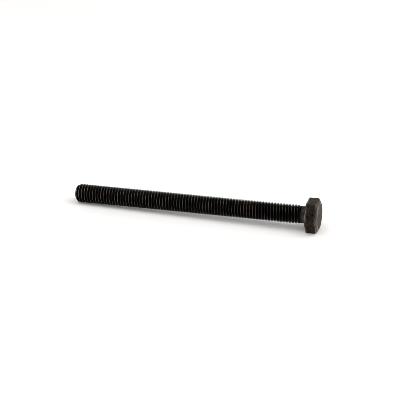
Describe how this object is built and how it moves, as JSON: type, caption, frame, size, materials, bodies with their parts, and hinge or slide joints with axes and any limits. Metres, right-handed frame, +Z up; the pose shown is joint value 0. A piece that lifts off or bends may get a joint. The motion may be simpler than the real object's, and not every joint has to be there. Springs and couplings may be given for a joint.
{
  "type": "hex head screw",
  "caption": "Long hex head screw in black-finished steel, threaded from its chamfered tip up to a short neck under the head.",
  "frame": {"origin": "centre of the footprint at the floor, with the screw lying on the bearing-side edge of one head flat and on its tip", "axes": "+X from the tip towards the head, level, with the screw's own axis 1.42 degrees above it; +Y level across the screw; +Z up"},
  "size_m": [0.1058, 0.0146, 0.0129],
  "materials": {
    "black_steel": "black oxide, satin on the thread's crests and duller on the head"
  },
  "bodies": {
    "root": {"hex_head_screw": "black_steel"}
  },
  "joints": []
}
